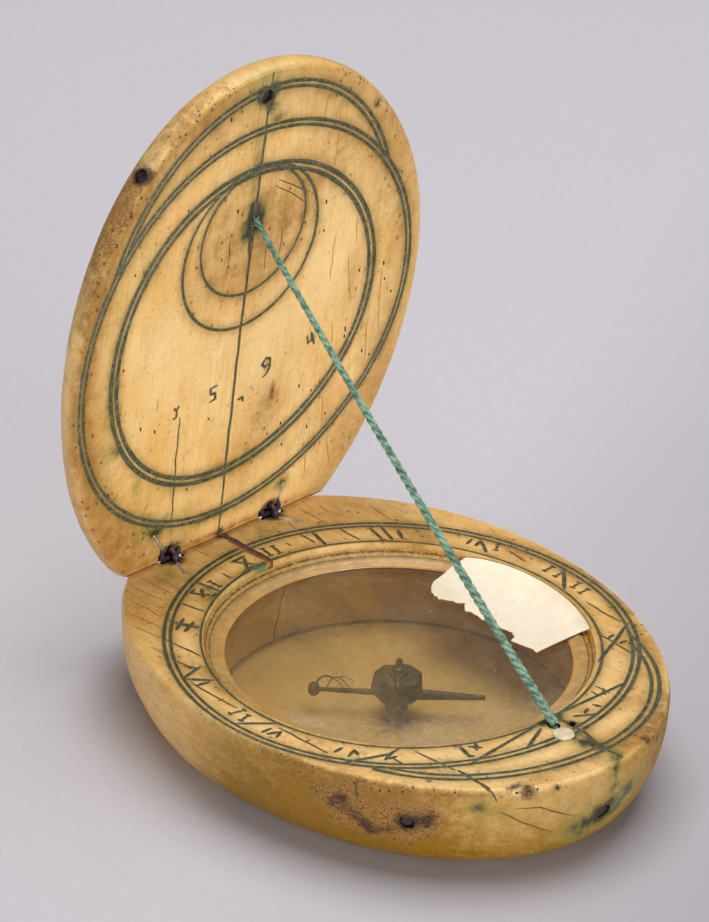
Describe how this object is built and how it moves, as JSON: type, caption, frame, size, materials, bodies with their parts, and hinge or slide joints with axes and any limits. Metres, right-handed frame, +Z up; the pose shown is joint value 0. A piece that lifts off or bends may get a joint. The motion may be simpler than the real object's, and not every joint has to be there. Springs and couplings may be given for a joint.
{
  "type": "folding pocket sundial",
  "caption": "Oval hinged ivory pocket sundial: an engraved lid and base, a thread gnomon between them and a compass needle under glass in the base.",
  "frame": {"origin": "on the flat underside of the base, straight below the compass pivot", "axes": "+X to the right of the dial, +Y from the front of the dial to the hinge, +Z up"},
  "size_m": [0.0569, 0.0699, 0.0755],
  "materials": {
    "ivory": "worn satin",
    "glass": "clear",
    "horn": "satin",
    "label_paper": "matte",
    "brass": "tarnished",
    "iron": "dull",
    "thread": "twisted",
    "bone": "satin",
    "copper_wire": "corroded"
  },
  "bodies": {
    "base": {"base_leaf": "ivory", "compass_glass": "glass", "glass_retaining_ring": "horn", "paper_label": "label_paper", "pivot_pin": "brass", "string_gnomon": "thread", "string_tail": "thread", "string_peg": "bone", "left_base_eye": "copper_wire", "right_base_eye": "copper_wire", "base_side_pin": "copper_wire", "base_front_pin": "copper_wire"},
    "lid": {"lid_leaf": "ivory", "string_knot": "thread", "left_lid_staple": "copper_wire", "right_lid_staple": "copper_wire", "lid_top_pin": "copper_wire", "lid_rim_pin": "copper_wire"},
    "needle": {"needle_bar": "iron", "needle_hub": "iron", "needle_cap": "brass"}
  },
  "joints": [
    {"name": "lid_hinge", "type": "hinge", "parent": "base", "child": "lid", "pos_m": [0, 0.03084, 0.0125], "axis": [1, 0, 0], "range_deg": [0, 83.9], "deforming": ["string_gnomon"]},
    {"name": "needle_swing", "type": "hinge", "parent": "base", "child": "needle", "pos_m": [0, 0, 0.0053], "axis": [0, 0, 1], "continuous": true}
  ]
}
